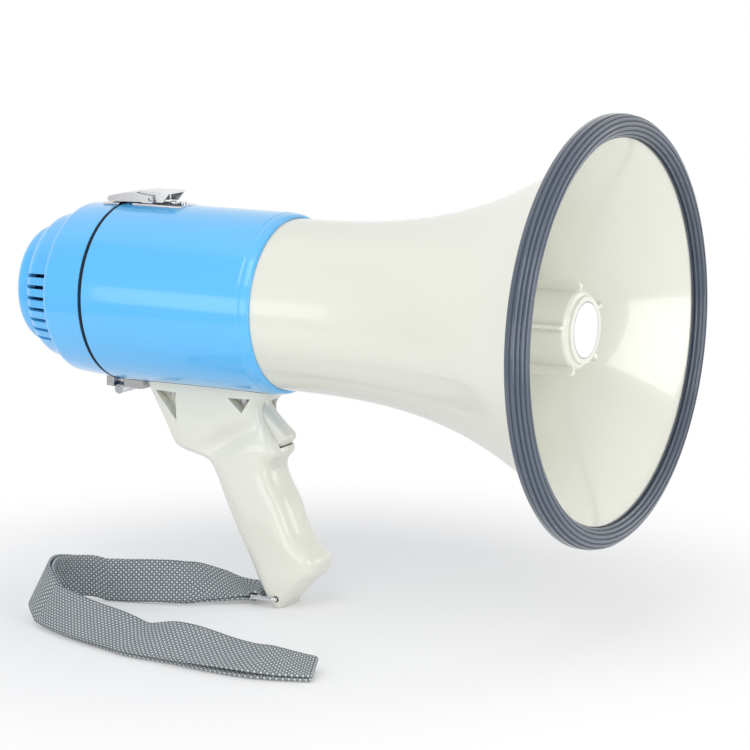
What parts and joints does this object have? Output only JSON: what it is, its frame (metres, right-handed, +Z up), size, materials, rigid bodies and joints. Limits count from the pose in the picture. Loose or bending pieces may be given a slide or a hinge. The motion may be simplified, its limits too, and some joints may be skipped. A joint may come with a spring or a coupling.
{
  "type": "handheld megaphone",
  "caption": "Handheld megaphone with a flared horn, rubber rim, hinged battery cover on a draw latch, pistol grip with trigger and wrist strap.",
  "frame": {"origin": "under the middle of the megaphone, level with the foot of its grip", "axes": "+X the way the sound leaves, along the horn axis; +Z up; -Y the side that the picture shows"},
  "size_m": [0.388, 0.2711, 0.298],
  "materials": {
    "cream_plastic": "glossy moulded plastic",
    "blue_plastic": "glossy moulded plastic",
    "trigger_plastic": "glossy moulded plastic",
    "slate_rubber": "ridged satin rubber",
    "black_rubber": "matt sealing rubber",
    "white_plastic": "plain glossy disc",
    "black_plastic": "satin",
    "chrome": "bright plated sheet",
    "steel": "plain",
    "magnet": "sintered ferrite",
    "brass": "plain",
    "board": "solder-masked laminate",
    "aluminium": "extruded",
    "cell_sleeve": "sleeved steel can",
    "grey_webbing": "coarse woven webbing"
  },
  "bodies": {
    "main_group": {"cover_gasket": "black_rubber", "main_body": "blue_plastic", "horn": "cream_plastic", "horn_bulkhead": "cream_plastic", "rim_bumper": "slate_rubber", "tone_guide": "cream_plastic", "badge_disc": "white_plastic", "throat_tube": "black_plastic", "driver_plate": "steel", "driver_magnet": "magnet", "driver_yoke": "steel", "driver_diaphragm": "brass", "driver_screws": "steel", "battery_tray": "white_plastic", "battery_cells": "cell_sleeve", "battery_contacts": "brass", "grip": "cream_plastic", "grip_screws": "steel", "trigger_pin": "steel", "trigger_switch": "black_plastic", "latch_base": "chrome", "latch_lever_pin": "chrome", "latch_rivets": "chrome", "hinge_body_leaf": "chrome", "hinge_pin": "chrome", "hinge_body_rivets": "chrome"},
    "rear_cover_group": {"rear_cover": "blue_plastic", "mic_grille": "black_plastic", "mic_capsule": "aluminium", "volume_control": "board", "amplifier_board": "board", "amplifier_parts": "black_plastic", "heat_sink": "aluminium", "board_screws": "steel", "latch_keeper": "chrome", "keeper_rivets": "chrome", "hinge_cover_leaf": "chrome", "hinge_cover_rivets": "chrome"},
    "knob_group": {"volume_knob": "black_plastic", "volume_shaft": "steel"},
    "lever_group": {"latch_lever": "chrome", "latch_claw_pins": "chrome"},
    "claw_group": {"latch_claw": "chrome"},
    "trigger_group": {"trigger": "trigger_plastic"},
    "bail_group": {"strap_bail": "chrome", "strap": "grey_webbing"}
  },
  "joints": [
    {"name": "cover_hinge", "type": "hinge", "parent": "main_group", "child": "rear_cover_group", "pos_m": [-0.1295, 0, 0.1205], "axis": [0, -1, 0], "range_deg": [0, 90]},
    {"name": "latch_lever_turn", "type": "hinge", "parent": "main_group", "child": "lever_group", "pos_m": [-0.112, 0, 0.2361], "axis": [0, -1, 0], "range_deg": [0, 60]},
    {"name": "latch_claw_turn", "type": "hinge", "parent": "lever_group", "child": "claw_group", "pos_m": [-0.1075, 0, 0.2349], "axis": [0, 1, 0], "range_deg": [0, 100]},
    {"name": "trigger_press", "type": "hinge", "parent": "main_group", "child": "trigger_group", "pos_m": [-0.037, 0, 0.1165], "axis": [0, 1, 0], "range_deg": [0, 6], "stiffness_Nm_per_rad": 2, "springref_deg": -2.86},
    {"name": "volume_turn", "type": "hinge", "parent": "rear_cover_group", "child": "knob_group", "pos_m": [-0.1915, 0, 0.1625], "axis": [-1, 0, 0], "range_deg": [0, 270]},
    {"name": "bail_swing", "type": "hinge", "parent": "main_group", "child": "bail_group", "pos_m": [-0.0205, 0, 0.0055], "axis": [0, -1, 0], "range_deg": [0, 90]}
  ],
  "couplings": [
    {"joint": "latch_lever_turn", "follows": "cover_hinge", "ratio": 0.66667},
    {"joint": "latch_claw_turn", "follows": "cover_hinge", "ratio": 1.1111}
  ]
}
